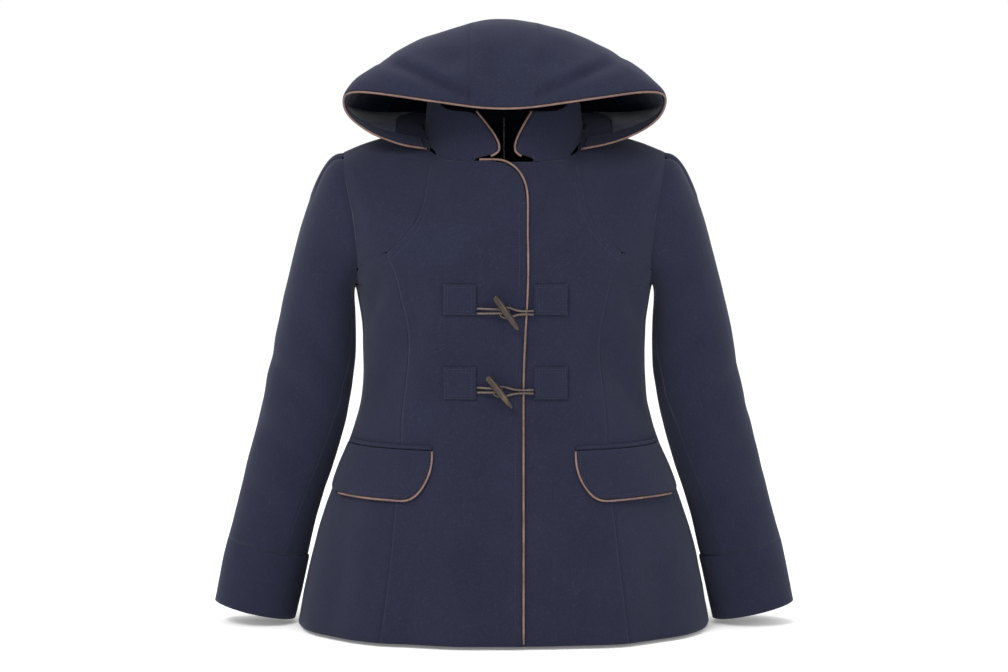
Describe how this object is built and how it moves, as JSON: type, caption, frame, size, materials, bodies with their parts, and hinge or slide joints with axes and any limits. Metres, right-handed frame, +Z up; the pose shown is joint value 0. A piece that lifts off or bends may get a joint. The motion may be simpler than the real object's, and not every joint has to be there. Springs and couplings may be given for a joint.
{
  "type": "hooded toggle overcoat",
  "caption": "Short hooded coat filled out as worn, with set-in sleeves, deep cuffs, stand collar, flap pockets and toggle fastenings; hollow and open at neck, hem and cuffs.",
  "frame": {"origin": "middle of the neck, level with the side neck points, where the wearer's shoulders hold the coat", "axes": "+Z up, the front faces -Y, +X towards the wearer's left"},
  "size_m": [0.7378, 0.3178, 0.7566],
  "materials": {
    "coating_wool": "matt felted navy wool, fine weave",
    "lining_satin": "satin lining, soft shine",
    "piping": "thin brown leather-look piping",
    "cord": "brown leather cord",
    "toggle_horn": "dark bronze-brown horn look, polished"
  },
  "bodies": {
    "root": {"front_right": "coating_wool", "front_left": "coating_wool", "front_yoke_right": "coating_wool", "front_side_right": "coating_wool", "back_right": "coating_wool", "sleeve_upper_right": "coating_wool", "sleeve_under_right": "coating_wool", "cuff_right": "coating_wool", "collar_right": "coating_wool", "piping_collar_right": "piping", "hood_side_right": "coating_wool", "flap_right": "coating_wool", "flap_welt_right": "coating_wool", "piping_flap_right": "piping", "front_yoke_left": "coating_wool", "front_side_left": "coating_wool", "back_left": "coating_wool", "sleeve_upper_left": "coating_wool", "sleeve_under_left": "coating_wool", "cuff_left": "coating_wool", "collar_left": "coating_wool", "piping_collar_left": "piping", "hood_side_left": "coating_wool", "flap_left": "coating_wool", "flap_welt_left": "coating_wool", "piping_flap_left": "piping", "hood_strip": "coating_wool", "hood_facing": "coating_wool", "hood_lining": "lining_satin", "piping_hood": "piping", "piping_front": "piping", "patch_top_right": "coating_wool", "patch_top_left": "coating_wool", "cord_loop_top": "cord", "cord_toggle_top": "cord", "toggle_top": "toggle_horn", "patch_bottom_right": "coating_wool", "patch_bottom_left": "coating_wool", "cord_loop_bottom": "cord", "cord_toggle_bottom": "cord", "toggle_bottom": "toggle_horn"}
  },
  "joints": []
}
